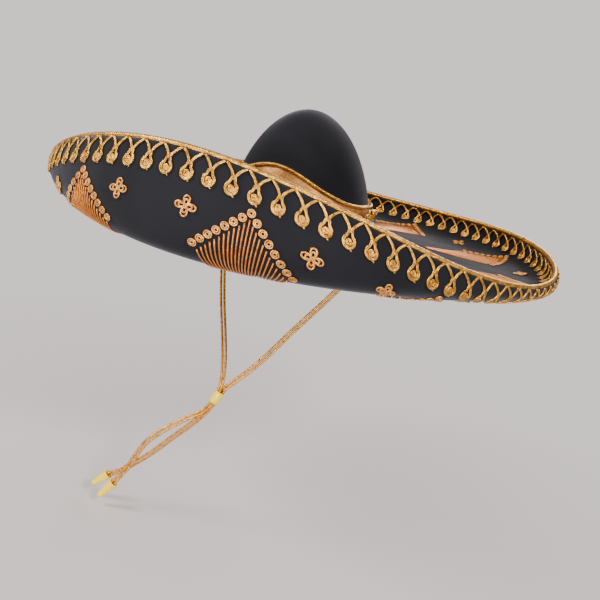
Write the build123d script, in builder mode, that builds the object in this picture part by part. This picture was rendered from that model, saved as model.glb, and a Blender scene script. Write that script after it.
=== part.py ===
from build123d import *

import math
import os

# Charro sombrero: stiff core, velvet skins, gold trims and a chin cord.
# Origin at the centre of the head opening. +Z goes up through the crown, the
# front of the hat faces -Y and the wearer's left is +X. All sizes are in mm.

os.makedirs("parts", exist_ok=True)

# head opening and crown
opening_half_length = 90.0
opening_half_width = 85.0
crown_height = 136.0
crown_taper = 0.26
crown_roundness = 2.9
crown_lean = 20.0
crown_wall = 2.2
lining_thickness = 0.8
velvet_thickness = 1.0
layer_gap = 0.2

# brim
brim_half_length = 304.0
brim_half_width = 304.0
brim_set_back = 23.0
brim_thickness = 2.4
brim_flat_share = 0.67
brim_droop = 4.0
edge_mean_height = 36.5
edge_waves = [17.0, 20.0, 11.8]
roll_angle = 108.0
roll_reach = 1.87

# trims
wire_size = 2.4
binding_width = 3.4
binding_thickness = 6.4
braid_loops = 88
braid_length = 26.0
braid_length_inner = 22.0
braid_inset = 2.4
braid_inset_inner = 5.0
braid_loop_radius = 6.2
braid_thickness = 2.2
band_height = 43.0
band_peak = 28.0
band_thickness = 0.8
band_cord_size = 4.0
sweatband_height = 34.0
sweatband_thickness = 1.4
sweatband_gap = 0.9
petal_count = 8
petal_length = 62.0
petal_half_angle = 15.0
petal_thickness = 0.8
outline_size = 2.4
fan_count = 10
fan_first_turn_under = 14.5
fan_first_turn_top = 25.5
fan_half_angle = 8.0
flower_offsets_under = [-11.0, 11.0]
flower_offsets_top = [18.0]
knot_radius = 3.0
knot_thickness = 1.8

# chin cord
cord_diameter = 3.2
anchor_distance = 103.0
eyelet_bore = 4.6
eyelet_wall = 0.7
eyelet_flange = 7.6
eyelet_flange_thickness = 0.8
bead_length = 15.5
bead_radius = 6.7
bead_bore = 5.0
bead_centre = Vector(-18, -80, -211)
bead_axis = Vector(-0.33, -0.18, -0.93).normalized()
tip_length = 27.0
tip_mouth_radius = 5.9
tip_end_radius = 3.4
tip_bore = 4.7
tip_bore_depth = 8.0

UP = Vector(0, 0, 1)


def save(builder, name):
    """Label a finished piece and write it to its own STEP file."""
    builder.part.label = name
    export_step(builder.part, f"parts/{name}.step")


# ---------------------------------------------------------------- brim shape


def oval_point(turn, half_width, half_length, back=0.0, height=0.0):
    """Point of a level oval; turn is counted from the front towards +X."""
    angle = math.radians(turn)
    return Vector(half_width * math.sin(angle), back - half_length * math.cos(angle), height)


def edge_height(turn):
    """Height of the brim's edge: the front is rolled up highest."""
    waves = (size * math.cos(math.radians(turn * (n + 1))) for n, size in enumerate(edge_waves))
    return edge_mean_height + sum(waves)


def brim_profile(turn):
    """Vertical plane from the head opening to the edge, with the profile's four Bezier points."""
    inner = oval_point(turn, opening_half_width, opening_half_length)
    outer = oval_point(turn, brim_half_width, brim_half_length, brim_set_back)
    outward = outer - inner
    width, rise = outward.length, edge_height(turn)
    roll = roll_reach * rise
    roll_x = roll * math.cos(math.radians(roll_angle))
    roll_y = roll * math.sin(math.radians(roll_angle))
    points = [
        Vector(0, 0),
        Vector(brim_flat_share * width, -brim_droop),
        Vector(width - roll_x, rise - roll_y),
        Vector(width, rise),
    ]
    return Plane(origin=inner, x_dir=outward, z_dir=outward.cross(UP)), points


def blossom(points, *shares):
    """Polar form of a Bezier curve: one share for each step down to a single point."""
    for share in shares:
        points = [a * (1 - share) + b * share for a, b in zip(points, points[1:])]
    return points[0]


def lifted(points, lift):
    """Control points of the profile with each leg moved off by lift."""
    normals = [(b - a).normalized().rotate(Axis.Z, 90) for a, b in zip(points, points[1:])]
    moved = [points[0] + normals[0] * lift]
    for corner, before, after in zip(points[1:3], normals, normals[1:]):
        moved.append(corner + (before + after) * (lift / (1 + before.dot(after))))
    return moved + [points[3] + normals[2] * lift]


def cut_profile(points, start, stop, lift):
    """Control points of the lifted profile from start to stop."""
    moved = lifted(points, lift)
    return [
        blossom(moved, start, start, start),
        blossom(moved, start, start, stop),
        blossom(moved, start, stop, stop),
        blossom(moved, stop, stop, stop),
    ]


def share_at(turn, distance):
    """Share of the profile that lies at this distance outside the head opening."""
    points = brim_profile(turn)[1]
    low, high = 0.0, 1.0
    for _ in range(24):
        middle = (low + high) / 2
        if blossom(points, middle, middle, middle).X < distance:
            low = middle
        else:
            high = middle
    return low


def share_from_edge(turn, distance):
    """Share of the profile that lies at this distance from the brim's edge."""
    points = brim_profile(turn)[1]
    low, high = 0.1, 1.0
    for _ in range(24):
        middle = (low + high) / 2
        if (points[3] - blossom(points, middle, middle, middle)).length > distance:
            low = middle
        else:
            high = middle
    return low


def brim_point(turn, share, lift=0.0):
    """Point on the brim; a positive lift goes to the upper, inner side."""
    plane, points = brim_profile(turn)
    return plane.from_local_coords(blossom(lifted(points, lift), share, share, share))


def brim_section(turn, start, stop, low, high):
    """Cross-section face of a brim layer between two shares and two lifts."""
    plane, points = brim_profile(turn)
    with BuildSketch(plane) as section:
        with BuildLine():
            lower = Bezier(*cut_profile(points, start, stop, low))
            upper = Bezier(*cut_profile(points, start, stop, high))
            Line(lower @ 0, upper @ 0)
            Line(lower @ 1, upper @ 1)
        make_face()
    return section.sketch.faces()[0]


def brim_ring(distance, low, high, edge_distance=0.0):
    """Full ring of brim layer, lofted as two halves."""
    for first in (0, 180):
        sections = []
        for step in range(13):
            turn = first + 15 * step
            stop = share_from_edge(turn, edge_distance) if edge_distance else 1.0
            start = share_at(turn, distance) if distance else 0.0
            sections.append(brim_section(turn, start, stop, low, high))
        loft(sections=sections)


def edge_ring(near, far, thickness):
    """Ring along the brim's edge: round if it is as thick as it is wide, else flat."""
    for first in (0, 180):
        sections = []
        for step in range(13):
            plane, points = brim_profile(first + 15 * step)
            along = (points[3] - points[2]).normalized()
            middle = points[3] + along * (near + far) / 2
            lift = along.rotate(Axis.Z, 90) * brim_thickness / 2
            corner_plane = Plane(
                origin=plane.from_local_coords(middle + lift),
                x_dir=plane.from_local_coords(along) - plane.origin,
                z_dir=plane.z_dir,
            )
            with BuildSketch(corner_plane) as section:
                if thickness == far - near:
                    Circle(thickness / 2)
                else:
                    RectangleRounded(far - near, thickness, (far - near) / 4)
            sections.append(section.sketch.faces()[0])
        loft(sections=sections)


def seat_plane(turn, start, stop, side, clearance):
    """Plane that rests on the brim from start to stop; side is +1 on top and -1 below."""
    surface = (top_face if side > 0 else under_face) + side * clearance
    near = brim_point(turn, start, surface)
    far = brim_point(turn, stop, surface)
    middle = brim_point(turn, (start + stop) / 2, surface)
    along = (far - near).normalized()
    across = (brim_point(turn + 1, stop) - brim_point(turn - 1, stop)).normalized()
    normal = across.cross(along).normalized()
    if normal.dot(brim_point(turn, start, side) - brim_point(turn, start)) < 0:
        normal = normal * -1
    stand_off = max(0.0, (middle - (near + far) / 2).dot(normal))
    return Plane(origin=(near + far) / 2 + normal * stand_off, x_dir=along, z_dir=normal)


top_face = brim_thickness + layer_gap + velvet_thickness
under_face = -(layer_gap + velvet_thickness)
crown_clear = crown_wall + layer_gap + velvet_thickness
edge_inset = wire_size + layer_gap

# core of the brim: stiff board, with the eyelet holes
eyelet_hole = eyelet_bore + eyelet_wall + layer_gap
anchor_places = [(anchor_distance, 0, 0), (-anchor_distance, 0, 0)]
with BuildPart() as brim_core:
    brim_ring(0, 0, brim_thickness, edge_inset)
    with Locations(*anchor_places):
        Cylinder(eyelet_hole, 40, mode=Mode.SUBTRACT)
save(brim_core, "brim_core")

# velvet on the upper face, from the crown's foot to the edge
with BuildPart() as brim_top_velvet:
    brim_ring(crown_clear + layer_gap, brim_thickness + layer_gap, top_face)
    with Locations(*anchor_places):
        Cylinder(eyelet_hole, 40, mode=Mode.SUBTRACT)
save(brim_top_velvet, "brim_top_velvet")

# velvet on the underside
with BuildPart() as brim_under_velvet:
    brim_ring(0, under_face, -layer_gap)
    with Locations(*anchor_places):
        Cylinder(eyelet_hole, 40, mode=Mode.SUBTRACT)
save(brim_under_velvet, "brim_under_velvet")

# steel wire in the edge, and the gold binding round it
with BuildPart() as rim_wire:
    edge_ring(-wire_size, 0, wire_size)
save(rim_wire, "rim_wire")

with BuildPart() as rim_binding:
    edge_ring(layer_gap, layer_gap + binding_width, binding_thickness)
save(rim_binding, "rim_binding")

# looped braid on both sides of the edge: a fork at the edge, a waist and a round loop
fork_half_width = 7.4
waist_half_width = 2.2


def braid_outline(seat, length):
    """Flat outline of one braid loop with its two openings."""
    edge = length / 2
    centre = braid_loop_radius - edge
    with BuildSketch(seat) as outline:
        with BuildLine():
            Polyline(
                (edge, fork_half_width), (edge, -fork_half_width), (centre + 9, -waist_half_width),
                (centre, -3.4), (centre, 3.4), (centre + 9, waist_half_width), close=True,
            )
        make_face()
        with Locations((centre, 0)):
            Circle(braid_loop_radius)
            Circle(braid_loop_radius / 3, mode=Mode.SUBTRACT)
        with Locations((edge - 4.2, 0)):
            Circle(waist_half_width, mode=Mode.SUBTRACT)
    return outline.sketch.faces()[0]


for name, side, length, inset in (
    ("rim_braid_outer", -1, braid_length, braid_inset),
    ("rim_braid_inner", 1, braid_length_inner, braid_inset_inner),
):
    with BuildPart() as braid:
        outlines = []
        for loop in range(braid_loops):
            turn = 360 * (loop + 0.5) / braid_loops
            start = share_from_edge(turn, length + inset)
            stop = share_from_edge(turn, inset)
            outlines.append(braid_outline(seat_plane(turn, start, stop, side, 0.9), length))
        extrude(to_extrude=outlines, amount=braid_thickness)
    save(braid, name)

# ------------------------------------------------------------------- crown


def crown_share(height):
    """Width of the crown at a height, as a share of its width at the foot."""
    u = height / crown_height
    return (1 - crown_taper * u) * math.sqrt(max(1 - u**crown_roundness, 0.0))


def crown_oval(height, outset):
    """Level face across the crown, grown by outset beyond the head opening's oval."""
    share = crown_share(height)
    forward = crown_lean * height / crown_height
    with BuildSketch(Plane(origin=(0, -forward, height))) as oval:
        Ellipse(opening_half_width * share + outset, opening_half_length * share + outset)
    return oval.sketch.faces()[0]


def crown_loft(foot, top, outset, mode=Mode.ADD, steps=9):
    """Solid crown between two heights, with sections closer together near the top."""
    heights = [foot + (top - foot) * math.sin(math.pi / 2 * n / steps) for n in range(steps + 1)]
    loft(sections=[crown_oval(height, outset) for height in heights], mode=mode)


crown_foot = brim_thickness
crown_top = crown_height * 0.975
with BuildPart() as crown_core:
    crown_loft(crown_foot, crown_top - layer_gap - velvet_thickness, crown_wall)
    crown_loft(crown_foot, crown_top - layer_gap - velvet_thickness - crown_wall, 0, Mode.SUBTRACT)
save(crown_core, "crown_core")

velvet_foot = crown_foot + layer_gap
with BuildPart() as crown_velvet:
    crown_loft(velvet_foot, crown_top, crown_clear)
    crown_loft(velvet_foot, crown_top - velvet_thickness, crown_wall + layer_gap, Mode.SUBTRACT)
save(crown_velvet, "crown_velvet")

lining_foot = sweatband_height + 2
lining_top = crown_top - 2 * layer_gap - velvet_thickness - crown_wall
with BuildPart() as crown_lining:
    crown_loft(lining_foot, lining_top, -layer_gap)
    crown_loft(lining_foot, lining_top - lining_thickness, -layer_gap - lining_thickness, Mode.SUBTRACT)
save(crown_lining, "crown_lining")


def crown_band(foot, top, inset, outset):
    """Band round the crown between two heights."""
    heights = [foot + (top - foot) * n / 5 for n in range(6)]
    loft(sections=[crown_oval(height, outset) for height in heights])
    loft(sections=[crown_oval(height, inset) for height in heights], mode=Mode.SUBTRACT)


with BuildPart() as sweatband:
    crown_band(0.5, sweatband_height, -sweatband_gap - sweatband_thickness, -sweatband_gap)
save(sweatband, "sweatband")

# hatband: level round the sides and back, rising to a peak at the front of the crown
band_foot = top_face + layer_gap
band_top = band_foot + band_height
band_inset = crown_clear + layer_gap
band_outset = band_inset + band_thickness
cord_inset = band_outset + layer_gap
peak_shape = [(-120, 1.0), (-88, 1.0), (-80, 0.5), (-62, 0.16), (-36, 0.0), (120, 0.0)]


def beyond_peak_line(drop, limit):
    """Cut away all that lies between the band's top line, lowered by drop, and a level limit."""
    line = [(y, band_top + band_peak * share - drop) for y, share in peak_shape]
    with BuildSketch(Plane.YZ) as beyond:
        with BuildLine():
            Polyline(*line, (120, limit), (-120, limit), close=True)
        make_face()
    extrude(to_extrude=beyond.sketch.faces(), amount=120, both=True, mode=Mode.SUBTRACT)


with BuildPart() as hatband_ribbon:
    crown_band(band_foot, band_top + band_peak, band_inset, band_outset)
    beyond_peak_line(0, crown_height)
save(hatband_ribbon, "hatband_ribbon")

with BuildPart() as hatband_cord_bottom:
    crown_band(band_foot, band_foot + band_cord_size, cord_inset, cord_inset + band_cord_size)
    fillet(hatband_cord_bottom.edges().filter_by(GeomType.BSPLINE), band_cord_size / 5)
save(hatband_cord_bottom, "hatband_cord_bottom")

with BuildPart() as hatband_cord_top:
    crown_band(band_foot, band_top + band_peak, cord_inset, cord_inset + band_cord_size)
    beyond_peak_line(0, crown_height)
    beyond_peak_line(band_cord_size, -20)
save(hatband_cord_top, "hatband_cord_top")

# knot of the hatband at the wearer's left: two loops and a centre wrap
knot_height = band_top - 9
knot_x = opening_half_width * crown_share(knot_height) + cord_inset + band_cord_size + 0.3
knot_y = -crown_lean * knot_height / crown_height
with BuildPart() as hatband_bow:
    with BuildSketch(Plane(origin=(knot_x, knot_y, knot_height), x_dir=(0, 1, 0), z_dir=(1, 0, 0))):
        with Locations((-9, 0), (9, 0)):
            Ellipse(9, 6)
        Circle(5)
    extrude(amount=7)
    fillet(hatband_bow.edges().group_by(Axis.X)[-1], 2)
save(hatband_bow, "hatband_bow")

# --------------------------------------------------- petals, fans, flowers


def petal_reach(turn, centre):
    """How far a petal reaches from the head opening, down to its base at the sides."""
    aside = abs(turn - centre) / petal_half_angle
    return petal_foot + petal_length * (1 - aside) ** 0.8 + 4


petal_foot = cord_inset + band_cord_size + 1.0
petal_low = top_face + layer_gap
with BuildPart() as lame_petals:
    for petal in range(petal_count):
        centre = 360 * (petal + 0.5) / petal_count
        for side in (-1, 1):
            sections = []
            for step in range(4):
                turn = centre + side * petal_half_angle * step / 3
                reach = share_at(turn, petal_reach(turn, centre))
                foot = share_at(turn, petal_foot)
                sections.append(brim_section(turn, foot, reach, petal_low, petal_low + petal_thickness))
            loft(sections=sections, ruled=True)
save(lame_petals, "lame_petals")


def bar_outline(start, stop, width):
    """Flat outline of a bar laid on the brim between two seats."""
    along = stop.origin - start.origin
    middle = (start.origin + stop.origin) / 2
    across = (start.z_dir + stop.z_dir).cross(along)
    with BuildSketch(Plane(origin=middle, x_dir=along, z_dir=along.cross(across))) as outline:
        RectangleRounded(along.length - 0.4, width, width / 3)
    return outline.sketch.faces()[0]


with BuildPart() as petal_outline_cords:
    outlines = []
    for petal in range(petal_count):
        centre = 360 * (petal + 0.5) / petal_count
        for side in (-1, 1):
            seats = []
            for step in range(4):
                turn = centre + side * petal_half_angle * (0.1 + 0.95 * step / 3)
                aside = min(abs(turn - centre), petal_half_angle) * side + centre
                share = share_at(turn, petal_reach(aside, centre) + outline_size)
                seats.append(seat_plane(turn, share - 0.005, share + 0.005, 1, 1.4))
            pairs = zip(seats, seats[1:])
            outlines += [bar_outline(start, stop, outline_size) for start, stop in pairs]
    extrude(to_extrude=outlines, amount=outline_size)
save(petal_outline_cords, "petal_outline_cords")



def ring_outline(seat):
    """Flat outline of one looped knot."""
    with BuildSketch(seat) as outline:
        Circle(knot_radius)
        Circle(knot_radius / 3, mode=Mode.SUBTRACT)
    return outline.sketch.faces()[0]


# a fan of threads: it points at the crown and opens towards the edge
fan_foot = 92.0
fan_corner = 77.0
fan_apex = 34.0
fan_sections = 9
fan_turns_under = [fan_first_turn_under + 360 * fan / fan_count for fan in range(fan_count)]
fan_turns_top = [fan_first_turn_top + 360 * fan / fan_count for fan in range(fan_count)]
for name, border_name, side, fan_turns in (
    ("fan_threads_under", "fan_borders_under", -1, fan_turns_under),
    ("fan_threads_top", "fan_borders_top", 1, fan_turns_top),
):
    low, high = sorted([side * 0.4, side * 1.2])
    face = top_face if side > 0 else under_face
    with BuildPart() as fan_threads:
        for centre in fan_turns:
            for half in (-1, 1):
                sections = []
                for step in range(fan_sections):
                    part = step / (fan_sections - 1)
                    turn = centre + half * fan_half_angle * part
                    outer = share_from_edge(turn, fan_apex + (fan_corner - fan_apex) * part + 9)
                    inner_turn = share_at(turn, fan_foot)
                    inner = inner_turn + (outer - inner_turn - 0.02) * part
                    sections.append(brim_section(turn, inner, outer, face + low, face + high))
                loft(sections=sections, ruled=True)
    save(fan_threads, name)
    with BuildPart() as fan_borders:
        outlines = []
        for centre in fan_turns:
            for knot in range(-6, 7):
                part = abs(knot) / 6
                turn = centre + fan_half_angle * 1.05 * knot / 6
                distance = fan_apex + (fan_corner - fan_apex) * part
                start = share_from_edge(turn, distance + knot_radius)
                stop = share_from_edge(turn, distance - knot_radius)
                outlines.append(ring_outline(seat_plane(turn, start, stop, side, 0.5)))
        extrude(to_extrude=outlines, amount=knot_thickness)
    save(fan_borders, border_name)

# four-petal flowers of looped cord
flower_distance = 48.0
flower_reach = 9.0
for name, side, fan_turns, offsets in (
    ("flowers_under", -1, fan_turns_under, flower_offsets_under),
    ("flowers_top", 1, fan_turns_top, flower_offsets_top),
):
    with BuildPart() as flowers:
        for turn in [centre + offset for centre in fan_turns for offset in offsets]:
            start = share_from_edge(turn, flower_distance + flower_reach)
            stop = share_from_edge(turn, flower_distance - flower_reach)
            with BuildSketch(seat_plane(turn, start, stop, side, 0.5)):
                with PolarLocations(5.2, 4, 45):
                    Circle(3.9)
                    Circle(1.3, mode=Mode.SUBTRACT)
                Circle(2.4)
        extrude(amount=knot_thickness)
    save(flowers, name)

# ------------------------------------------------------ sweatband bow, eyelets

bow_height = 18.0
bow_y = opening_half_length * crown_share(bow_height) - crown_lean * bow_height / crown_height
bow_y -= sweatband_gap + sweatband_thickness + 3.0
with BuildPart() as sweatband_bow:
    with BuildSketch(Plane(origin=(0, bow_y, bow_height), x_dir=(1, 0, 0), z_dir=(0, -1, 0))):
        with BuildLine():
            Polyline((-14, 6), (0, 1.5), (14, 6), (14, -6), (0, -1.5), (-14, -6), close=True)
        make_face()
        Circle(3.2)
    extrude(amount=2)
save(sweatband_bow, "sweatband_bow")

# brass eyelets through the brim, and the cord's knot that sits on each of them
eyelet_low = under_face - 1.2 - eyelet_flange_thickness
eyelet_high = top_face + 0.6 + eyelet_flange_thickness
knot_size = 6.6
for side_name, side in (("left", 1), ("right", -1)):
    axis_plane = Plane(origin=(side * anchor_distance, 0, 0), x_dir=(1, 0, 0), z_dir=(0, -1, 0))
    with BuildPart() as eyelet:
        with BuildSketch(axis_plane):
            with BuildLine():
                Polyline(
                    (eyelet_bore, eyelet_low),
                    (eyelet_flange, eyelet_low),
                    (eyelet_flange, eyelet_low + eyelet_flange_thickness),
                    (eyelet_bore + eyelet_wall, eyelet_low + eyelet_flange_thickness),
                    (eyelet_bore + eyelet_wall, eyelet_high - eyelet_flange_thickness),
                    (eyelet_flange, eyelet_high - eyelet_flange_thickness),
                    (eyelet_flange, eyelet_high),
                    (eyelet_bore, eyelet_high),
                    close=True,
                )
            make_face()
        revolve(axis=Axis((side * anchor_distance, 0, 0), (0, 0, 1)))
    save(eyelet, f"cord_eyelet_{side_name}")
    with BuildPart() as cord_knot:
        with BuildSketch(axis_plane):
            with BuildLine():
                foot, top = (0, eyelet_high + layer_gap), (0, eyelet_high + layer_gap + 9)
                Line(top, foot)
                ThreePointArc(foot, (knot_size, eyelet_high + layer_gap + 4.5), top)
            make_face()
        revolve(axis=Axis((side * anchor_distance, 0, 0), (0, 0, 1)))
    save(cord_knot, f"cord_knot_{side_name}")

# --------------------------------------------------------------- chin cord

# Middle lines of the cord's stretches. A pair of strands runs side by side along
# each leg, all four pass through the bead, and a pair goes on to each tip.
left_leg = [(103, 0, -6), (76, -17, -57), (45, -38, -109), (15, -59, -164), (-6, -72, -191)]
right_leg = [(-103, 0, -6), (-79, -22, -58), (-57, -41, -109), (-35, -57, -151), (-21, -70, -181)]
left_tail = [(-39, -87, -252), (-59, -92, -276), (-77, -97, -300), (-94, -102, -319),
             (-110, -107, -335), (-130, -114, -350)]
right_tail = [(-41, -91, -242), (-59, -99, -258), (-77, -107, -277), (-88, -112, -295),
              (-95, -117, -319), (-103, -121, -335), (-112, -126, -352)]
left_leg_step = Vector(-1.5, -0.6, 0.95)
right_leg_step = Vector(-1.85, -0.75, -0.45)
tail_step = Vector(-1.3, -0.55, 1.35)
bunch_radius = 2.5
bunch_above = 10.0
bunch_below = 22.0
bunch = Plane(origin=bead_centre, x_dir=bead_axis.cross(Vector(0.38, -0.92, 0)), z_dir=bead_axis)


def strand_route(leg, leg_step, tail, side, place):
    """Points of one strand: down its leg, straight through the bead, along its tail."""
    across, behind = place
    route = [Vector(*point) + leg_step * side for point in leg]
    for height in (-bunch_above, bunch_below):
        route.append(bunch.from_local_coords(Vector(across, behind, height) * 1.0))
    route += [Vector(*point) + tail_step * side for point in tail]
    return route


def corner_radii(route):
    """Largest arc that each corner's two runs leave room for."""
    radii = []
    for before, corner, after in zip(route, route[1:], route[2:]):
        arriving, leaving = corner - before, after - corner
        half_turn = math.radians(arriving.get_angle(leaving)) / 2
        radii.append(0.45 * min(arriving.length, leaving.length) / math.tan(half_turn))
    return radii


strands = {
    "chin_cord_left_front": (left_leg, left_leg_step, left_tail, -1, (-bunch_radius, 0)),
    "chin_cord_left_back": (left_leg, left_leg_step, left_tail, 1, (0, bunch_radius)),
    "chin_cord_right_front": (right_leg, right_leg_step, right_tail, -1, (0, -bunch_radius)),
    "chin_cord_right_back": (right_leg, right_leg_step, right_tail, 1, (bunch_radius, 0)),
}
for name, (leg, leg_step, tail, side, place) in strands.items():
    route = strand_route(leg, leg_step, tail, side, place)
    radii = corner_radii(route)
    with BuildPart() as strand:
        with BuildLine():
            path = FilletPolyline(*route, radius=radii)
        with BuildSketch(Plane(origin=path @ 0, z_dir=path % 0)):
            Circle(cord_diameter / 2)
        sweep(path=path)
    section = math.pi * cord_diameter**2 / 4
    print(name, "radii", [round(radius) for radius in radii], "length", round(path.length))
    print("   volume", round(strand.part.volume), "section times length", round(section * path.length))
    save(strand, name)

# sliding bead: an oval bead with a bore for the four strands
with BuildPart() as slide_bead:
    with BuildSketch(Plane(origin=bead_centre, x_dir=bunch.x_dir, z_dir=bunch.y_dir)):
        with BuildLine():
            start, stop = (bead_bore, -bead_length / 2), (bead_bore, bead_length / 2)
            Line(start, stop)
            ThreePointArc(start, (bead_radius, 0), stop)
        make_face()
    revolve(axis=Axis(bead_centre, bead_axis))
save(slide_bead, "slide_bead")

# bell-shaped tips: each takes the ends of two strands in a blind bore
for name, tail, way in (
    ("cord_tip_left", left_tail, Vector(-23, -7, -25)),
    ("cord_tip_right", right_tail, Vector(-14, -7, -22)),
):
    way = way.normalized()
    mouth = Vector(*tail[-1]) - way * (tip_bore_depth - 1.5)
    side_plane = Plane(origin=mouth, x_dir=way, z_dir=way.cross(UP))
    with BuildPart() as cord_tip:
        with BuildSketch(side_plane):
            with BuildLine():
                outer = Spline(
                    (0, tip_mouth_radius), (tip_length * 0.35, tip_mouth_radius * 0.86),
                    (tip_length * 0.8, tip_end_radius), (tip_length, 0),
                    tangents=[(1, 0.1), (0, -1)],
                )
                Polyline(outer @ 1, (tip_bore_depth, 0), (tip_bore_depth, tip_bore), (0, tip_bore), outer @ 0)
            make_face()
        revolve(axis=Axis(mouth, way))
    save(cord_tip, name)
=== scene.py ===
import bpy
import numpy as np
from mathutils import Matrix, Vector


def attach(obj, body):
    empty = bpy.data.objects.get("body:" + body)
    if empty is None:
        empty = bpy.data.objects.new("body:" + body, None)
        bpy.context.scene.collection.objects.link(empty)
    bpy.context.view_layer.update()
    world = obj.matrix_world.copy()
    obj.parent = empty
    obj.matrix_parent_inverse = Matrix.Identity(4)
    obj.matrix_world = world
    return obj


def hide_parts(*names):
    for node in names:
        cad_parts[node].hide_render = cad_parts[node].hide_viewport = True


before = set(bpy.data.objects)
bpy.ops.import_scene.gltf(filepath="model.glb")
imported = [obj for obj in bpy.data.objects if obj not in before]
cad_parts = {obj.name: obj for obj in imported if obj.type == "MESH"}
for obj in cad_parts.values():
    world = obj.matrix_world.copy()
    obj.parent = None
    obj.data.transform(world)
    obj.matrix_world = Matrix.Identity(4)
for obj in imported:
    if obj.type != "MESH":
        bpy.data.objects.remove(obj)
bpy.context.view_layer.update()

# ------------------------------------------------------------------ camera
# The photograph is taken from the front left of the hat, a little above its brim,
# with the camera rolled 13 degrees so that the hat seems to lean.
azimuth, elevation, roll = np.radians([22.5, 13.2, 13.0])
back = np.array([
    np.sin(azimuth) * np.cos(elevation), -np.cos(azimuth) * np.cos(elevation), np.sin(elevation)
])
level = np.array([np.cos(azimuth), np.sin(azimuth), 0.0])
upright = np.cross(back, level)
right = level * np.cos(roll) + upright * np.sin(roll)
above = upright * np.cos(roll) - level * np.sin(roll)
camera_data = bpy.data.cameras.new("camera")
camera_data.lens = 51.96
camera_data.sensor_width = 36.0
camera_data.clip_end = 50.0
camera = bpy.data.objects.new("camera", camera_data)
bpy.context.collection.objects.link(camera)
view = Matrix([[right[k], above[k], back[k], 0.0] for k in range(3)] + [[0.0, 0.0, 0.0, 1.0]])
camera.matrix_world = Matrix.Translation((0.4199, -0.9525, 0.1557)) @ view
bpy.context.scene.camera = camera


def add_piece(name, places, faces, body="hat", smooth=True):
    """Object at the origin from an array of places and a list of face index arrays."""
    mesh = bpy.data.meshes.new(name)
    places = np.asarray(places, dtype=float).reshape(-1, 3)
    mesh.from_pydata(places.tolist(), [], [face for block in faces for face in block.tolist()])
    mesh.validate()
    mesh.polygons.foreach_set("use_smooth", [smooth] * len(mesh.polygons))
    piece = bpy.data.objects.new(name, mesh)
    bpy.context.collection.objects.link(piece)
    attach(piece, body)
    return piece


def sweep_tubes(paths, radius, sides=8, closed=False, relief=None):
    """Tubes round many paths at once: paths is (tubes, points, 3).

    radius may be one number or an array of (tubes, points). relief(along, around) scales the
    radius, with along in metres from the path's start and around in radians.
    The rings keep an even direction: each takes its sideways axis from one fixed vector per tube.
    """
    paths = np.asarray(paths, dtype=float)
    tubes, count = paths.shape[:2]
    if closed:
        forward = np.roll(paths, -1, 1) - np.roll(paths, 1, 1)
    else:
        forward = np.gradient(paths, axis=1)
    forward /= np.linalg.norm(forward, axis=2, keepdims=True) + 1e-12
    spread = np.abs(forward).mean(1)
    guide = np.eye(3)[spread.argmin(1)][:, None, :]
    across = np.cross(forward, guide)
    across /= np.linalg.norm(across, axis=2, keepdims=True) + 1e-12
    other = np.cross(forward, across)
    around = np.arange(sides) * 2 * np.pi / sides
    steps = np.linalg.norm(np.diff(paths, axis=1), axis=2)
    along = np.concatenate([np.zeros((tubes, 1)), steps.cumsum(1)], 1)
    size = np.broadcast_to(np.asarray(radius, dtype=float), (tubes, count))[..., None]
    if relief is not None:
        size = size * relief(along[..., None], around[None, None, :])
    ring = across[:, :, None] * np.cos(around)[:, None] + other[:, :, None] * np.sin(around)[:, None]
    places = paths[:, :, None] + ring * size[..., None]
    index = np.arange(tubes * count * sides).reshape(tubes, count, sides)
    start = index if closed else index[:, :-1]
    stop = np.roll(index, -1, 1) if closed else index[:, 1:]
    quads = np.stack([start, np.roll(start, -1, 2), np.roll(stop, -1, 2), stop], -1).reshape(-1, 4)
    faces = [quads]
    if not closed:
        faces += [index[:, 0, ::-1], index[:, -1]]
    return places.reshape(-1, 3), faces


def join_blocks(blocks):
    """One list of places and faces from several (places, faces) blocks."""
    places, faces, count = [], [], 0
    for block_places, block_faces in blocks:
        places.append(block_places)
        faces += [face + count for face in block_faces]
        count += len(block_places)
    return np.concatenate(places), faces


def yarn_material(name, bright, deep, metallic, rough, grain, depth):
    """Glittering yarn: fine stripes of bright and deep colour with a matching bump."""
    paint = bpy.data.materials.new(name)
    paint.use_nodes = True
    nodes, links = paint.node_tree.nodes, paint.node_tree.links
    shader = nodes["Principled BSDF"]
    shader.inputs["Metallic"].default_value = metallic
    shader.inputs["Roughness"].default_value = rough
    place = nodes.new("ShaderNodeTexCoord")
    fine = nodes.new("ShaderNodeTexNoise")
    fine.inputs["Scale"].default_value = grain
    fine.inputs["Detail"].default_value = 4.0
    broad = nodes.new("ShaderNodeTexNoise")
    broad.inputs["Scale"].default_value = grain / 9
    ramp = nodes.new("ShaderNodeValToRGB")
    ramp.color_ramp.elements[0].position = 0.36
    ramp.color_ramp.elements[0].color = (*deep, 1)
    ramp.color_ramp.elements[1].position = 0.62
    ramp.color_ramp.elements[1].color = (*bright, 1)
    mix = nodes.new("ShaderNodeMath")
    mix.operation = "MULTIPLY_ADD"
    mix.inputs[1].default_value = 0.4
    bump = nodes.new("ShaderNodeBump")
    bump.inputs["Strength"].default_value = 0.5
    bump.inputs["Distance"].default_value = depth
    links.new(place.outputs["Object"], fine.inputs["Vector"])
    links.new(place.outputs["Object"], broad.inputs["Vector"])
    links.new(broad.outputs["Fac"], mix.inputs[0])
    half = nodes.new("ShaderNodeMath")
    half.operation = "MULTIPLY"
    half.inputs[1].default_value = 0.6
    links.new(fine.outputs["Fac"], half.inputs[0])
    links.new(half.outputs[0], mix.inputs[2])
    links.new(mix.outputs[0], ramp.inputs["Fac"])
    links.new(ramp.outputs["Color"], shader.inputs["Base Color"])
    links.new(fine.outputs["Fac"], bump.inputs["Height"])
    links.new(bump.outputs["Normal"], shader.inputs["Normal"])
    return paint


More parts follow.
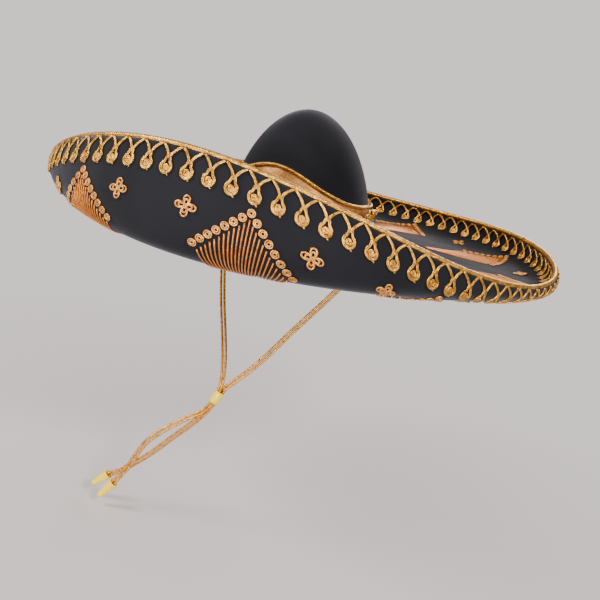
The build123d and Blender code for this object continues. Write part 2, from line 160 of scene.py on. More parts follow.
# -------------------------------------------------------------- chin cords
# Four round braided cords of metallic gold yarn, 3.2 mm thick, two down each side.
# They hang limp from the eyelets, run through the bead and end in the bell tips.
left_leg = [(103, 0, -6), (76, -17, -57), (45, -38, -109), (15, -59, -164), (-6, -72, -191)]
right_leg = [(-103, 0, -6), (-79, -22, -58), (-57, -41, -109), (-35, -57, -151), (-21, -70, -181)]
left_tail = [
    (-39, -87, -252), (-59, -92, -276), (-77, -97, -300), (-94, -102, -319),
    (-110, -107, -335), (-130, -114, -350),
]
right_tail = [
    (-41, -91, -242), (-59, -99, -258), (-77, -107, -277), (-88, -112, -295),
    (-95, -117, -319), (-103, -121, -335), (-112, -126, -352),
]
bead_centre = np.array([-18.0, -80.0, -211.0])
bead_axis = np.array([-0.33, -0.18, -0.93])
bead_axis /= np.linalg.norm(bead_axis)
bead_x = np.cross(bead_axis, [0.38, -0.92, 0.0])
bead_x /= np.linalg.norm(bead_x)
bead_y = np.cross(bead_axis, bead_x)
left_leg_step, right_leg_step = np.array([-1.5, -0.6, 0.95]), np.array([-1.85, -0.75, -0.45])
tail_step = np.array([-1.3, -0.55, 1.35])


def strand_line(name, leg, leg_step, tail, side, across, behind):
    """Points of one strand in metres, and the smooth line through its NURBS curve."""
    route = [np.array(point) + leg_step * side for point in leg]
    for height in (-10.0, 22.0):
        route.append(bead_centre + bead_x * across + bead_y * behind + bead_axis * height)
    route += [np.array(point) + tail_step * side for point in tail]
    curve_data = bpy.data.curves.new(name + "_line", "CURVE")
    curve_data.dimensions = "3D"
    curve_data.resolution_u = 40
    spline = curve_data.splines.new("NURBS")
    spline.points.add(len(route) - 1)
    for control, point in zip(spline.points, route):
        control.co = (*(point / 1000), 1.0)
    spline.order_u = 3
    spline.use_endpoint_u = True
    line = bpy.data.objects.new(name + "_line", curve_data)
    bpy.context.collection.objects.link(line)
    bpy.context.view_layer.update()
    fine = bpy.data.meshes.new_from_object(line)
    points = np.array([vertex.co[:] for vertex in fine.vertices])
    bpy.data.objects.remove(line)
    travelled = np.concatenate([[0], np.linalg.norm(np.diff(points, axis=0), axis=1).cumsum()])
    even = np.linspace(0, travelled[-1], 900)
    return np.stack([np.interp(even, travelled, points[:, k]) for k in range(3)], 1), travelled[-1]


def plait(along, around):
    """Relief of a round braid: two sets of strands cross each other and dip between."""
    one = np.abs(np.sin(1.5 * around + along * 620))
    two = np.abs(np.sin(1.5 * around - along * 620))
    return 0.80 + 0.20 * np.maximum(one, two) ** 0.7


chin_gold = yarn_material("chin_gold", (1.0, 0.50, 0.06), (0.26, 0.07, 0.005), 0.8, 0.3, 2600, 0.0004)
strand_places = {
    "chin_cord_left_front": (left_leg, left_leg_step, left_tail, -1, -2.5, 0.0),
    "chin_cord_left_back": (left_leg, left_leg_step, left_tail, 1, 0.0, 2.5),
    "chin_cord_right_front": (right_leg, right_leg_step, right_tail, -1, 0.0, -2.5),
    "chin_cord_right_back": (right_leg, right_leg_step, right_tail, 1, 2.5, 0.0),
}
strands = {}
for name, placing in strand_places.items():
    line, length = strand_line(name, *placing)
    strand = add_piece(name + "_braid", *sweep_tubes(line[None], 0.0016, 18, relief=plait), "chin_cord")
    strand.data.materials.append(chin_gold)
    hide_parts(name)
    strands[name] = (strand, line, length)

# --------------------------------------------------------------- slide bead
# A moulded yellow plastic bead, open through its length, that slides on the four cords.
def turned(profile, origin, axis, side, steps=64, flutes=0, flute_depth=0.0):
    """Closed ring of revolution from (along, radius) pairs, with optional flutes."""
    around = np.arange(steps) * 2 * np.pi / steps
    third = np.cross(axis, side)
    profile = np.asarray(profile, dtype=float)
    fluted = (np.cos(flutes * around) > 0.6) * (profile[:, 1:2] > 0.0028)
    radius = profile[:, 1:2] * (1 - flute_depth * fluted)
    ring = np.cos(around)[:, None] * side + np.sin(around)[:, None] * third
    places = origin + profile[:, None, 0:1] * axis + radius[..., None] * ring
    index = np.arange(len(profile) * steps).reshape(len(profile), steps)
    last = np.roll(index, -1, 0)
    quads = np.stack([index, last, np.roll(last, -1, 1), np.roll(index, -1, 1)], -1).reshape(-1, 4)
    return places.reshape(-1, 3), [quads]


def plastic_material(name, colour, rough):
    """Moulded plastic with a faint mottle in its roughness."""
    paint = bpy.data.materials.new(name)
    paint.use_nodes = True
    nodes, links = paint.node_tree.nodes, paint.node_tree.links
    shader = nodes["Principled BSDF"]
    shader.inputs["Base Color"].default_value = (*colour, 1)
    shader.inputs["Coat Weight"].default_value = 0.4
    shader.inputs["Subsurface Weight"].default_value = 0.15
    shader.inputs["Subsurface Radius"].default_value = (0.004, 0.002, 0.001)
    place = nodes.new("ShaderNodeTexCoord")
    mottle = nodes.new("ShaderNodeTexNoise")
    mottle.inputs["Scale"].default_value = 300
    spread = nodes.new("ShaderNodeMapRange")
    spread.inputs["To Min"].default_value = rough - 0.08
    spread.inputs["To Max"].default_value = rough + 0.12
    links.new(place.outputs["Object"], mottle.inputs["Vector"])
    links.new(mottle.outputs["Fac"], spread.inputs["Value"])
    links.new(spread.outputs[0], shader.inputs["Roughness"])
    return paint


yellow = plastic_material("yellow_plastic", (0.95, 0.66, 0.01), 0.3)
half_length, middle_radius, end_radius, bore = 0.00775, 0.0067, 0.0056, 0.0049
bow = np.linspace(-1, 1, 25)
bead_profile = [(half_length * t, end_radius + (middle_radius - end_radius) * (1 - t * t)) for t in bow]
bead_profile += [(half_length + 0.0002, end_radius - 0.0004), (half_length - 0.0004, bore)]
bead_profile += [(-half_length + 0.0004, bore), (-half_length - 0.0002, end_radius - 0.0004)]
bead = add_piece("bead", *turned(bead_profile, bead_centre / 1000, bead_axis, bead_x), "slide_bead")
bead.data.materials.append(yellow)
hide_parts("slide_bead")

# --------------------------------------------------------------- bell tips
# Moulded yellow bells, fluted from the mouth down. Two cord ends are glued into each.
bell = [
    (0.0, 0.0059), (0.0012, 0.0061), (0.0022, 0.0056), (0.006, 0.0054), (0.010, 0.0050),
    (0.014, 0.0045), (0.018, 0.0040), (0.0205, 0.0037), (0.0215, 0.0041), (0.0235, 0.0038),
    (0.0255, 0.0026), (0.0268, 0.0004), (0.0085, 0.0004), (0.008, 0.0047), (0.0, 0.0047),
]
for name, tail, way in (
    ("cord_tip_left", left_tail, (-23.0, -7.0, -25.0)),
    ("cord_tip_right", right_tail, (-14.0, -7.0, -22.0)),
):
    way = np.array(way) / np.linalg.norm(way)
    aside = np.cross(way, [0, 0, 1.0])
    aside /= np.linalg.norm(aside)
    mouth = np.array(tail[-1]) / 1000 - way * 0.0065
    tip = add_piece(name + "_bell", *turned(bell, mouth, way, aside, 96, 16, 0.07), "chin_cord")
    tip.data.materials.append(yellow)
    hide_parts(name)
for name, (strand, line, length) in strands.items():
    side = "left" if "left" in name else "right"

# -------------------------------------------------------------- brim velvet
# Black velvet glued over both faces of a stiff felt board whose edge is rolled up round a
# steel wire. Every trim below is laid on this surface. In each vertical plane from the head
# opening to the edge the profile is a cubic Bezier curve; its four points follow from the
# width there and from the edge's height, which rises and falls as three waves round the hat.
opening_half_width, opening_half_length = 0.085, 0.090
brim_radius, brim_set_back = 0.304, 0.023
edge_mean_height, edge_waves = 0.0365, (0.017, 0.020, 0.0118)
roll_reach, roll_angle = 1.87, np.radians(108)
flat_share, brim_droop = 0.67, 0.004
velvet_top, velvet_under = 0.0036, -0.0012


def brim_frame(turn):
    """Foot point, outward direction and the profile's four points, for turns in degrees from the front."""
    angle = np.radians(turn)
    level = np.zeros_like(angle)
    inner = [opening_half_width * np.sin(angle), -opening_half_length * np.cos(angle), level]
    inner = np.stack(inner, -1)
    outer = [brim_radius * np.sin(angle), brim_set_back - brim_radius * np.cos(angle), level]
    outer = np.stack(outer, -1)
    width = np.linalg.norm(outer - inner, axis=-1)
    outward = (outer - inner) / width[..., None]
    rise = edge_mean_height + sum(size * np.cos((k + 1) * angle) for k, size in enumerate(edge_waves))
    reach = roll_reach * rise
    out = np.stack([level, flat_share * width, width - reach * np.cos(roll_angle), width], -1)
    up = np.stack([level, level - brim_droop, rise - reach * np.sin(roll_angle), rise], -1)
    return inner, outward, np.stack([out, up], -1)


def brim_place(turn, share, lift):
    """Places on the brim: share runs from the opening (0) to the edge (1), lift upwards off the board."""
    turn, share, lift = np.broadcast_arrays(
        np.asarray(turn, float), np.asarray(share, float), np.asarray(lift, float)
    )
    inner, outward, points = brim_frame(turn)
    legs = np.diff(points, axis=-2)
    legs = legs / np.linalg.norm(legs, axis=-1, keepdims=True)
    normals = np.stack([-legs[..., 1], legs[..., 0]], -1)
    raised = lift[..., None]
    moved = [points[..., 0, :] + normals[..., 0, :] * raised]
    for k in (0, 1):
        pair = normals[..., k, :] + normals[..., k + 1, :]
        meet = 1 + (normals[..., k, :] * normals[..., k + 1, :]).sum(-1, keepdims=True)
        moved.append(points[..., k + 1, :] + pair * raised / meet)
    moved.append(points[..., 3, :] + normals[..., 2, :] * raised)
    t = share[..., None]
    flat = (1 - t) ** 3 * moved[0] + 3 * t * (1 - t) ** 2 * moved[1] + 3 * t * t * (1 - t) * moved[2]
    flat = flat + t**3 * moved[3]
    return inner + outward * flat[..., 0:1] + np.array([0, 0, 1.0]) * flat[..., 1:2]


# how far each share lies from the edge, measured along the board, for every degree of turn
table_turns = np.arange(0, 361.0)
table_shares = np.linspace(0, 1, 241)
table_rows = brim_place(table_turns[:, None], table_shares[None], 0.0)
table_runs = np.linalg.norm(np.diff(table_rows, axis=1), axis=2)
table_far = np.concatenate([table_runs[:, ::-1].cumsum(1)[:, ::-1], np.zeros((361, 1))], 1)


def edge_share(turn, distance):
    """Share of the profile that lies at this distance from the edge, along the brim."""
    turn, distance = np.broadcast_arrays(np.asarray(turn, float), np.asarray(distance, float))
    wrapped = np.mod(turn, 360)
    low = np.floor(wrapped).astype(int)
    part = wrapped - low
    shares = np.empty((2, *turn.shape))
    for k in (0, 1):
        rows = table_far[np.minimum(low + k, 360)]
        flat_rows = rows.reshape(-1, rows.shape[-1])
        flat_far = distance.reshape(-1)
        found = [np.interp(-d, -row, table_shares) for d, row in zip(flat_far, flat_rows)]
        shares[k] = np.array(found).reshape(turn.shape)
    return shares[0] * (1 - part) + shares[1] * part


def velvet_material(name, scale):
    """Black velvet: dark pile with a pale sheen at grazing angles and brushed patches."""
    paint = bpy.data.materials.new(name)
    paint.use_nodes = True
    nodes, links = paint.node_tree.nodes, paint.node_tree.links
    shader = nodes["Principled BSDF"]
    shader.inputs["Roughness"].default_value = 0.95
    shader.inputs["Specular IOR Level"].default_value = 0.12
    shader.inputs["Sheen Weight"].default_value = 0.35
    shader.inputs["Sheen Roughness"].default_value = 0.35
    shader.inputs["Sheen Tint"].default_value = (0.55, 0.56, 0.62, 1)
    place = nodes.new("ShaderNodeTexCoord")
    brushed = nodes.new("ShaderNodeTexNoise")
    brushed.inputs["Scale"].default_value = scale
    brushed.inputs["Detail"].default_value = 6
    brushed.inputs["Distortion"].default_value = 0.6
    tone = nodes.new("ShaderNodeValToRGB")
    tone.color_ramp.elements[0].color = (0.0045, 0.0045, 0.006, 1)
    tone.color_ramp.elements[1].color = (0.016, 0.016, 0.02, 1)
    pile = nodes.new("ShaderNodeTexNoise")
    pile.inputs["Scale"].default_value = 2400
    bump = nodes.new("ShaderNodeBump")
    bump.inputs["Strength"].default_value = 0.4
    bump.inputs["Distance"].default_value = 0.0004
    links.new(place.outputs["Object"], brushed.inputs["Vector"])
    links.new(place.outputs["Object"], pile.inputs["Vector"])
    links.new(brushed.outputs["Fac"], tone.inputs["Fac"])
    links.new(tone.outputs["Color"], shader.inputs["Base Color"])
    links.new(pile.outputs["Fac"], bump.inputs["Height"])
    links.new(bump.outputs["Normal"], shader.inputs["Normal"])
    return paint


def brim_skin(name, start, low, high):
    """Closed skin on the brim from a share near the opening to the edge, between two lifts."""
    turns = np.arange(0, 360, 1.0)
    shares = start + (1 - start) * np.linspace(0, 1, 70)
    faces_of = [brim_place(turns[:, None], shares[None], lift) for lift in (low, high)]
    ripple = 0.0004 * np.sin(np.radians(turns) * 23)[:, None] * np.sin(shares * 17)[None]
    faces_of[1] = faces_of[1] + ripple[..., None] * np.array([0, 0, 1.0])
    places = np.concatenate([faces_of[0], faces_of[1][:, ::-1]], 1)
    count = places.shape[1]
    index = np.arange(len(turns) * count).reshape(len(turns), count)
    after = np.roll(index, -1, 0)
    quads = np.stack([index, np.roll(index, -1, 1), np.roll(after, -1, 1), after], -1).reshape(-1, 4)
    return add_piece(name, places, [quads])


velvet = velvet_material("brim_velvet_paint", 9)
for name, node, start, low, high in (
    ("brim_velvet_upper", "brim_top_velvet", 0.016, velvet_top - 0.001, velvet_top),
    ("brim_velvet_under", "brim_under_velvet", 0.0, velvet_under, velvet_under + 0.001),
):
    skin = brim_skin(name, start, low, high)
    skin.data.materials.append(velvet)
    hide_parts(node)

# The board itself shows only inside the eyelets: unpainted grey felt.
felt = velvet_material("felt_paint", 60)
for node in ("brim_core", "crown_core"):
    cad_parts[node].data.materials.clear()
    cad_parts[node].data.materials.append(felt)

# -------------------------------------------------------------- rim binding
# A thick twisted gold cord is sewn round the very edge, over the wire.
gold = yarn_material("braid_gold", (1.0, 0.54, 0.09), (0.20, 0.055, 0.004), 0.85, 0.27, 1700, 0.0006)


def twist(pitch, plies, depth):
    """Relief of a twisted cord with this many plies."""
    def relief(along, around):
        return 1 - depth + depth * np.abs(np.cos(0.5 * plies * around + along * np.pi * plies / pitch))
    return relief


rim_turns = np.linspace(0, 360, 2400, endpoint=False)
rim_line = brim_place(rim_turns, 1.0, 0.0012)
rim_inner = brim_place(rim_turns, 0.995, 0.0012)
rim_out = rim_line - rim_inner
rim_line = rim_line + rim_out / np.linalg.norm(rim_out, axis=1, keepdims=True) * 0.0019
rim_block = sweep_tubes(rim_line[None], 0.0031, 14, closed=True, relief=twist(0.0085, 3, 0.3))
binding = add_piece("rim_binding_cord", *rim_block)
binding.data.materials.append(gold)
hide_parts("rim_binding", "rim_wire")

# ------------------------------------------------------------- looped braid
# Gold soutache sewn inside and outside the edge: each of the 88 units is a fork of doubled
# cord at the edge, drawn together at a wrapped waist, then a round loop with a coiled centre.
braid_units = 88
loop_centre = 0.0205


def braid_unit(side_step):
    """Flat lines of one unit: (away from the edge, aside) in metres, one row per cord."""
    lines = []
    for offset in (-0.0006, 0.0006):
        turn = np.linspace(-0.82 * np.pi, 0.82 * np.pi, 30)
        ring = 0.0052 + offset
        loop = np.stack([loop_centre + ring * np.cos(turn), ring * np.sin(turn)], 1)
        arm = np.linspace(0, 1, 12)[:, None]
        waist = np.array([0.0105, 0.0011 + offset])
        fork = np.array([0.0006, side_step / 2 - 0.0012 + offset])
        curve_in = waist * arm + fork * (1 - arm)
        curve_in[:, 1] += -0.0012 * np.sin(np.pi * arm[:, 0])
        lines.append(np.concatenate([
            curve_in * [1, -1], loop[:1] * 0.5 + waist * [0.5, -0.5], loop,
            loop[-1:] * 0.5 + waist * [0.5, 0.5], curve_in[::-1],
        ]))
    return np.array(lines)


def on_brim(centre_turns, lines, side, rise):
    """Lay flat lines on the brim at each centre turn: rows of (away, aside) become places."""
    away, aside = lines[..., 0], lines[..., 1]
    radius = 0.300
    turns = centre_turns[:, None, None] + np.degrees(aside / radius)[None]
    away = np.broadcast_to(away[None], turns.shape)
    lift = velvet_top + rise if side > 0 else velvet_under - rise
    places = brim_place(turns, edge_share(turns, away), lift)
    return places.reshape(-1, lines.shape[-2], 3)


pitch = 2 * np.pi * brim_radius / braid_units
centres = (np.arange(braid_units) + 0.5) * 360 / braid_units
unit = braid_unit(pitch)
coil_turn = np.linspace(0, 4.6 * np.pi, 44)
coil_radius = np.linspace(0.0006, 0.0032, 44)
coil = np.stack([loop_centre + coil_radius * np.cos(coil_turn), coil_radius * np.sin(coil_turn)], 1)
wrap_turn = np.linspace(0, 10 * np.pi, 60)
tail = np.stack([np.linspace(0.0245, 0.0275, 8), 0.001 + 0.003 * np.linspace(0, 1, 8) ** 2], 1)
for name, node, side in (("braid_outer", "rim_braid_outer", -1), ("braid_inner", "rim_braid_inner", 1)):
    fine_twist, coil_twist = twist(0.0022, 2, 0.25), twist(0.0022, 2, 0.2)
    cords = sweep_tubes(on_brim(centres, unit, side, 0.0014), 0.00105, 6, relief=fine_twist)
    coils = sweep_tubes(on_brim(centres, coil[None], side, 0.0013), 0.00095, 6, relief=coil_twist)
    ends = sweep_tubes(on_brim(centres, tail[None], side, 0.0010), 0.0008, 6)
    wrap_away = np.linspace(0.0098, 0.0132, 60)
    wrap = np.stack([wrap_away, 0.0023 * np.cos(wrap_turn)], 1)
    turns = centres[:, None] + np.degrees(wrap[:, 1] / 0.300)[None]
    away = np.broadcast_to(wrap[None, :, 0], turns.shape)
    swing = 0.0013 + 0.0012 * np.sin(wrap_turn)
    lift = velvet_top + swing if side > 0 else velvet_under - swing
    wraps = sweep_tubes(brim_place(turns, edge_share(turns, away), lift), 0.0005, 4)
    braid = add_piece(name, *join_blocks([cords, coils, ends, wraps]))
    braid.data.materials.append(gold)
    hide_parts(node)

# ------------------------------------------------------------ crown velvet
# The crown is blocked from stiff felt in one piece and covered with the same black velvet.
# Its width narrows towards the top and closes with a rounded dome; it leans forward.
crown_height, crown_taper, crown_lean, crown_roundness = 0.136, 0.26, 0.020, 2.9


def crown_place(turn, level, outset):
    """Places on the crown: level runs from the foot (0) to the top (1), outset away from the head."""
    turn, level, outset = np.broadcast_arrays(
        np.radians(np.asarray(turn, float)), np.asarray(level, float), np.asarray(outset, float)
    )
    share = (1 - crown_taper * level) * np.sqrt(np.maximum(1 - level**crown_roundness, 0.0))
    side = outset * np.sqrt(np.maximum(1 - level**8, 0.0))
    return np.stack([
        (opening_half_width * share + side) * np.sin(turn),
        -(opening_half_length * share + side) * np.cos(turn) - crown_lean * level,
        crown_height * level + outset * level**4,
    ], -1)


def crown_shell(name, low, high, inside, outside, dome=False, ridges=0.0, ridge_pitch=0.002, peak=0.0):
    """Closed band or dome on the crown between two heights in metres and two outsets.

    A band may rise by peak at the front, fading with the cube of the cosine of the turn.
    """
    turns = np.arange(0, 360, 1.5)
    rows = np.linspace(0, 1, 60)
    foot = low / crown_height
    top = 0.9995 if dome else high / crown_height
    top = top + peak / crown_height * np.maximum(0, np.cos(np.radians(turns)))[:, None] ** 3
    levels = foot + (top - foot) * (np.sin(rows * np.pi / 2) if dome else rows)[None]
    wave = ridges * np.cos(levels * crown_height * 2 * np.pi / ridge_pitch)
    outer = crown_place(turns[:, None], levels, outside + wave)
    inner = crown_place(turns[:, None], levels * (0.99 if dome else 1.0), inside)
    places = np.concatenate([outer, inner[:, ::-1]], 1)
    count = places.shape[1]
    index = np.arange(len(turns) * count).reshape(len(turns), count)
    after = np.roll(index, -1, 0)
    quads = np.stack([index, after, np.roll(after, -1, 1), np.roll(index, -1, 1)], -1)
    if dome:
        quads = np.delete(quads, 59, axis=1)
    faces = [quads.reshape(-1, 4)]
    if dome:
        faces += [index[None, :, 59], index[None, ::-1, 60]]
    return add_piece(name, places, faces)


crown = crown_shell("crown_velvet_cover", 0.0026, 0.136, 0.0024, 0.0034, dome=True)
crown.data.materials.append(velvet_material("crown_velvet_paint", 16))
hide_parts("crown_velvet")

# ------------------------------------------------- lining and sweatband
# A thin black satin lining is caught under the brown leather sweatband, which is stitched in.
lining = crown_shell("lining_satin_cover", 0.034, 0.128, -0.0012, -0.0006, dome=True)
satin = velvet_material("lining_paint", 30)
satin.node_tree.nodes["Principled BSDF"].inputs["Roughness"].default_value = 0.35
satin.node_tree.nodes["Principled BSDF"].inputs["Specular IOR Level"].default_value = 0.5
lining.data.materials.append(satin)
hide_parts("crown_lining")

leather = velvet_material("sweat_leather_paint", 45)
leather_shader = leather.node_tree.nodes["Principled BSDF"]
leather_shader.inputs["Sheen Weight"].default_value = 0.0
leather_shader.inputs["Roughness"].default_value = 0.5
leather_shader.inputs["Specular IOR Level"].default_value = 0.45
leather_tone = next(node for node in leather.node_tree.nodes if node.type == "VALTORGB").color_ramp
leather_tone.elements[0].color = (0.10, 0.05, 0.025, 1)
leather_tone.elements[1].color = (0.22, 0.12, 0.06, 1)
sweatband = crown_shell(
    "sweatband_leather", 0.0005, 0.034, -0.0023, -0.0010, ridges=0.00012, ridge_pitch=0.011
)
sweatband.data.materials.append(leather)
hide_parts("sweatband")
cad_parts["sweatband_bow"].data.materials.clear()
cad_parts["sweatband_bow"].data.materials.append(satin)

# ---------------------------------------------------------------- hatband
# Brown-gold lame ribbon woven with fine ribs, edged above and below with twisted gold cord
# and tied on the wearer's left in a two-looped knot.
lame = yarn_material("hatband_lame", (0.80, 0.38, 0.10), (0.26, 0.08, 0.015), 0.6, 0.38, 700, 0.0003)
ribbon = crown_shell(
    "hatband_lame_ribbon", 0.0038, 0.0468, 0.0036, 0.0044, ridges=0.00025, ridge_pitch=0.0021, peak=0.028
)
ribbon.data.materials.append(lame)
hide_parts("hatband_ribbon")
band_turns = np.linspace(0, 360, 900, endpoint=False)
for name, height, peak in (("hatband_cord_bottom", 0.0060, 0.0), ("hatband_cord_top", 0.0450, 0.028)):
    rise = peak * np.maximum(0, np.cos(np.radians(band_turns))) ** 3
    line = crown_place(band_turns, (height + rise) / crown_height, 0.0066)
    block = sweep_tubes(line[None], 0.0021, 12, closed=True, relief=twist(0.0075, 2, 0.32))
    cord = add_piece(name + "_twist", *block)
    cord.data.materials.append(gold)
    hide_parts(name)
around = np.linspace(0, 2 * np.pi, 60, endpoint=False)
knot_centre = crown_place(90.0, 0.0378 / crown_height, 0.0125)
bows = []
for way in (-1, 1):
    for size in (1.0, 0.62):
        y = way * (0.0085 + 0.0078 * size * np.cos(around))
        z = 0.0048 * size * np.sin(around) + way * 0.0012 * np.cos(around)
        bows.append(knot_centre + np.stack([0.0012 * np.sin(2 * around), y, z], -1))
for lean in (-0.6, 0.0, 0.6):
    x, z = 0.0032 * np.cos(around), 0.0058 * np.sin(around)
    bows.append(knot_centre + np.stack([x, lean * 0.004 + 0 * x, z], -1))
bow_block = sweep_tubes(np.array(bows), 0.0016, 10, closed=True, relief=twist(0.005, 2, 0.25))
bow = add_piece("hatband_knot", *bow_block)
bow.data.materials.append(gold)
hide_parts("hatband_bow")

# ----------------------------------------------------------------- petals
# Eight padded petals of white-gold lame lie on the brim round the crown, each outlined
# with twisted gold cord and quilted down the middle.
def opening_share(turn, distance):
    """Share of the profile at this distance from the head opening, along the brim."""
    turn, distance = np.broadcast_arrays(np.asarray(turn, float), np.asarray(distance, float))
    whole = np.interp(np.mod(turn, 360), table_turns, table_far[:, 0])
    return edge_share(turn, whole - distance)


petal_centres = 22.5 + 45 * np.arange(8)
aside = np.linspace(-1, 1, 31)
petal_foot, petal_length, petal_half_angle = 0.0096, 0.062, 15
reach = petal_foot + 0.004 + petal_length * (1 - np.abs(aside)) ** 0.8
along = np.linspace(0, 1, 24)
blocks, outline, veins = [], [], []
for centre in petal_centres:
    turns = centre + petal_half_angle * aside[:, None] + 0 * along[None]
    distance = petal_foot + (reach[:, None] - petal_foot) * along[None]
    shares = opening_share(turns, distance)
    puff = 0.0022 * np.sin(np.pi * along)[None] ** 0.6 * (1 - aside[:, None] ** 2)
    puff = puff * (1 - 0.35 * np.exp(-(aside[:, None] / 0.08) ** 2))
    upper = brim_place(turns, shares, 0.0044 + puff)
    lower = brim_place(turns, shares, 0.0038)
    loops = np.concatenate([upper, lower[:, ::-1]], 1)
    index = np.arange(loops.shape[0] * loops.shape[1]).reshape(loops.shape[:2])
    start, after = index[:-1], index[1:]
    quads = np.stack([start, after, np.roll(after, -1, 1), np.roll(start, -1, 1)], -1).reshape(-1, 4)
    blocks.append((loops.reshape(-1, 3), [quads, index[:1, ::-1], index[-1:]]))
    rim = brim_place(turns[:, -1], opening_share(turns[:, -1], reach + 0.0012), 0.0050)
    steps = np.linspace(0, 30, 150)
    outline.append(np.stack([np.interp(steps, np.arange(31), rim[:, k]) for k in range(3)], 1))
    for share in (-0.38, 0.0, 0.38):
        vein = np.linspace(0.0110, petal_foot + 0.060 * (1 - abs(share)) ** 0.8, 60)
        vein_turn = centre + petal_half_angle * share * np.linspace(1, 0.55, 60)
        lift = 0.0060 - 0.0012 * np.linspace(0, 1, 60) ** 3
        veins.append(brim_place(vein_turn, opening_share(vein_turn, vein), lift))
petals = add_piece("petals_lame", *join_blocks(blocks))
petals.data.materials.append(
    yarn_material("pale_lame_paint", (0.95, 0.90, 0.82), (0.50, 0.46, 0.42), 0.75, 0.3, 500, 0.0004)
)
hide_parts("lame_petals")
edging = join_blocks([
    sweep_tubes(np.array(outline), 0.0013, 8, relief=twist(0.004, 2, 0.25)),
    sweep_tubes(np.array(veins), 0.0007, 6, relief=twist(0.0025, 2, 0.25)),
])
edging = add_piece("petal_edging", *edging)
edging.data.materials.append(gold)
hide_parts("petal_outline_cords")

# ------------------------------------------------------- fans and flowers
# Ten embroidered fans on each face: 23 satin-stitched threads that spread from a foot
# towards a pointed border of small looped knots. Below, two looped-cord flowers flank each
# fan; above, one flower lies between each two fans.
def laid(turns, fars, lines, side, rise):
    """Lay flat lines of (away, aside) on the brim, each set round a place (turn, far from the edge)."""
    away = np.asarray(fars)[:, None, None] + lines[None, ..., 0]
    angle = np.degrees(lines[None, ..., 1] / (0.300 - 0.6 * np.asarray(fars)[:, None, None]))
    angle = np.asarray(turns)[:, None, None] + angle
    lift = velvet_top + rise if side > 0 else velvet_under - rise
    return brim_place(angle, edge_share(angle, away), lift).reshape(-1, lines.shape[-2], 3)


thread_gold = yarn_material("thread_gold", (0.85, 0.30, 0.05), (0.32, 0.08, 0.01), 0.6, 0.34, 1500, 0.0003)
copper = yarn_material("loop_copper", (1.0, 0.48, 0.12), (0.30, 0.09, 0.01), 0.7, 0.3, 1900, 0.0003)
fan_half_angle, fan_apex, fan_depth = 8, 0.034, 0.043
spin = np.linspace(0, 2 * np.pi, 20, endpoint=False)
for name, side, first_turn, offsets in (("under", -1, 14.5, (-11.0, 11.0)), ("top", 1, 25.5, (18.0,))):
    threads = []
    fan_turns = first_turn + 36 * np.arange(10)
    for centre in fan_turns:
        whole = float(np.interp(centre % 360, table_turns, table_far[:, 0]))
        for place in np.linspace(-1, 1, 23):
            run = np.linspace(0, 1, 26)
            start_far = fan_apex + 0.006 + fan_depth * abs(place)
            foot_far = whole - 0.094
            turns = centre + fan_half_angle * place * (1 - run) + 1.5 * place * run
            fars = start_far + (foot_far - start_far) * run
            lift = velvet_top + 0.0006 if side > 0 else velvet_under - 0.0006
            threads.append(brim_place(turns, edge_share(turns, fars), lift))
    thick = np.linspace(0.00085, 0.00045, 26)[None] * np.ones((len(threads), 1))
    stitched = add_piece("fan_stitches_" + name, *sweep_tubes(np.array(threads), thick, 6))
    stitched.data.materials.append(thread_gold)
    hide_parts("fan_threads_" + name)
    knots = np.arange(-7, 8) / 7
    knot_turns = (fan_turns[:, None] + 8.8 * knots[None]).ravel()
    knot_fars = np.tile(fan_apex + fan_depth * np.abs(knots), len(fan_turns))
    rings = [np.stack([size * np.cos(spin), size * np.sin(spin)], 1) for size in (0.0031, 0.0016)]
    border_lines = laid(knot_turns, knot_fars, np.array(rings), side, 0.0011)
    border_block = sweep_tubes(border_lines, 0.0008, 6, closed=True)
    border = add_piece("fan_loops_" + name, *border_block)
    border.data.materials.append(copper)
    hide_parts("fan_borders_" + name)
    fine_spin = np.linspace(0, 2 * np.pi, 96, endpoint=False)
    roses = []
    for size in (0.0090, 0.0058):
        radius = size * np.sign(np.cos(2 * fine_spin)) * np.abs(np.cos(2 * fine_spin)) ** 0.8
        roses.append(np.stack([radius * np.cos(fine_spin), radius * np.sin(fine_spin)], 1))
    roses.append(np.stack([0.0015 * np.cos(fine_spin), 0.0015 * np.sin(fine_spin)], 1))
    flower_turns = np.concatenate([fan_turns + offset for offset in offsets])
    flower_fars = np.full(len(flower_turns), 0.048)
    flower_lines = laid(flower_turns, flower_fars, np.array(roses), side, 0.0012)
    flower_block = sweep_tubes(flower_lines, 0.0010, 6, closed=True)
    flowers = add_piece("flower_loops_" + name, *flower_block)
    flowers.data.materials.append(copper)
    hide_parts("flowers_" + name)

# ------------------------------------------------------ eyelets and knots
# Rolled brass eyelets line the two holes in the brim; above each, the ends of its two
# cords are tied in a round knot that cannot pull through.
brass = bpy.data.materials.new("eyelet_brass_paint")
brass.use_nodes = True
brass_shader = brass.node_tree.nodes["Principled BSDF"]
brass_shader.inputs["Base Color"].default_value = (0.75, 0.52, 0.20, 1)
brass_shader.inputs["Metallic"].default_value = 1.0
brass_shader.inputs["Roughness"].default_value = 0.28
for side_name, way in (("left", 1), ("right", -1)):
    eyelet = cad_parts["cord_eyelet_" + side_name]
    eyelet.data.materials.clear()
    eyelet.data.materials.append(brass)
    turn = np.linspace(0.12, np.pi - 0.12, 360)
    wind = turn * 14
    ball = np.stack([
        way * 0.103 + 0.0050 * np.sin(turn) * np.cos(wind),
        0.0050 * np.sin(turn) * np.sin(wind),
        0.0098 + 0.0036 * np.cos(turn),
    ], -1)
    knot = add_piece("cord_knot_wound_" + side_name, *sweep_tubes(ball[None], 0.0014, 8, relief=plait))
    knot.data.materials.append(chin_gold)
    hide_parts("cord_knot_" + side_name)

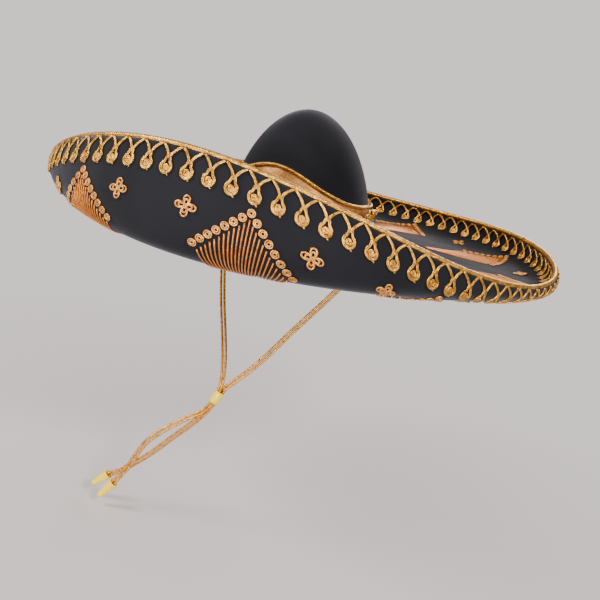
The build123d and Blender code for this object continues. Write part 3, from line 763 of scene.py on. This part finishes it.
# ---------------------------------------------------- floor, light, world
# A pale floor below the cord tips fades into an even pinkish-grey background.
floor_mesh = bpy.data.meshes.new("floor")
ring = np.linspace(0, 2 * np.pi, 96, endpoint=False)
floor_places = np.stack([2.2 * np.cos(ring), 2.2 * np.sin(ring), np.full(96, -0.3795)], 1)
floor_mesh.from_pydata(floor_places.tolist(), [], [list(range(96))])
floor = bpy.data.objects.new("floor", floor_mesh)
bpy.context.collection.objects.link(floor)
floor_paint = bpy.data.materials.new("floor_paint")
floor_paint.use_nodes = True
nodes, links = floor_paint.node_tree.nodes, floor_paint.node_tree.links
nodes["Principled BSDF"].inputs["Base Color"].default_value = (0.62, 0.57, 0.57, 1)
nodes["Principled BSDF"].inputs["Roughness"].default_value = 0.7
place = nodes.new("ShaderNodeTexCoord")
length = nodes.new("ShaderNodeVectorMath")
length.operation = "LENGTH"
fade = nodes.new("ShaderNodeMapRange")
fade.inputs["From Min"].default_value = 0.35
fade.inputs["From Max"].default_value = 1.1
fade.inputs["To Min"].default_value = 1.0
fade.inputs["To Max"].default_value = 0.0
links.new(place.outputs["Object"], length.inputs[0])
links.new(length.outputs["Value"], fade.inputs["Value"])
links.new(fade.outputs[0], nodes["Principled BSDF"].inputs["Alpha"])
floor_mesh.materials.append(floor_paint)

world = bpy.data.worlds.new("world")
world.use_nodes = True
bpy.context.scene.world = world
nodes, links = world.node_tree.nodes, world.node_tree.links
lit = nodes["Background"]
lit.inputs["Color"].default_value = (0.80, 0.78, 0.80, 1)
lit.inputs["Strength"].default_value = 0.7
seen = nodes.new("ShaderNodeBackground")
seen.inputs["Color"].default_value = (0.66, 0.60, 0.60, 1)
seen.inputs["Strength"].default_value = 1.55
rays = nodes.new("ShaderNodeLightPath")
mix = nodes.new("ShaderNodeMixShader")
links.new(rays.outputs["Is Camera Ray"], mix.inputs["Fac"])
links.new(lit.outputs[0], mix.inputs[1])
links.new(seen.outputs[0], mix.inputs[2])
links.new(mix.outputs[0], nodes["World Output"].inputs["Surface"])
for name, spot, size, power in (
    ("window", (-1.3, -1.2, 1.3), 0.8, 46.0),
    ("lamp", (1.5, -1.0, 1.1), 0.3, 34.0),
    ("front", (0.3, -1.7, -0.1), 0.5, 22.0),
    ("low", (-0.6, -1.3, -0.7), 0.5, 10.0),
    ("rear", (0.2, 1.7, 1.2), 0.7, 24.0),
):
    light_data = bpy.data.lights.new(name, "AREA")
    light_data.size = size
    light_data.energy = power
    light_data.color = (1.0, 0.97, 0.93)
    light = bpy.data.objects.new(name, light_data)
    bpy.context.collection.objects.link(light)
    light.location = spot
    light.rotation_euler = Vector((-spot[0], -spot[1], -spot[2])).to_track_quat("-Z", "Y").to_euler()
